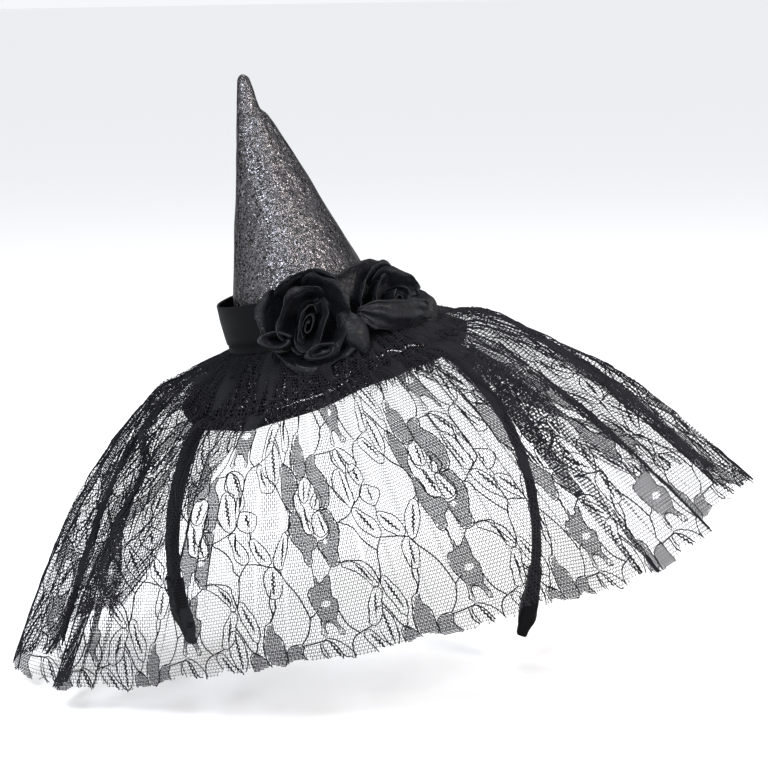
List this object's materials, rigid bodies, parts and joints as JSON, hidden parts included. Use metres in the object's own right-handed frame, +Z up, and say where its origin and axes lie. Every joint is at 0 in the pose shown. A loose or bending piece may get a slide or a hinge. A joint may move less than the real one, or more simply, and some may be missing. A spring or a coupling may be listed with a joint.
{
  "type": "mini cone hat headband with veil",
  "caption": "Small glittery cone hat on a covered headband, with a ribbon hatband, black satin roses and a gathered floral lace veil that flares over its drooping brim.",
  "frame": {"origin": "middle of the headband's inner face at its top, where the band sits on the head", "axes": "+Z up, the wearer faces -Y, +X to the wearer's left, along the veil's longest extent; the band lies in the XZ plane"},
  "size_m": [0.2734, 0.1725, 0.2183],
  "materials": {
    "band_cloth": "matte woven ribbon wound round a plastic band",
    "wrap_ribbon": "matte grosgrain ribbon",
    "brim_cloth": "dark cloth with metal glitter",
    "glitter_cloth": "pewter lame with glitter",
    "matte_ribbon": "matte stiff ribbon",
    "satin": "glossy satin",
    "lace": "fine net lace with floral clothwork"
  },
  "bodies": {
    "root": {"headband": "band_cloth", "end_wrap_left": "wrap_ribbon", "end_wrap_right": "wrap_ribbon", "brim": "brim_cloth", "crown_cone": "glitter_cloth", "hatband_ribbon": "matte_ribbon", "rose_front_bud": "satin", "rose_front_petal_1": "satin", "rose_front_petal_2": "satin", "rose_front_petal_3": "satin", "rose_front_petal_4": "satin", "rose_front_petal_5": "satin", "rose_front_petal_6": "satin", "rose_front_petal_7": "satin", "rose_front_petal_8": "satin", "rose_side_bud": "satin", "rose_side_petal_1": "satin", "rose_side_petal_2": "satin", "rose_side_petal_3": "satin", "rose_side_petal_4": "satin", "rose_side_petal_5": "satin", "rose_side_petal_6": "satin", "rose_side_petal_7": "satin", "rose_side_petal_8": "satin", "veil": "lace"}
  },
  "joints": []
}
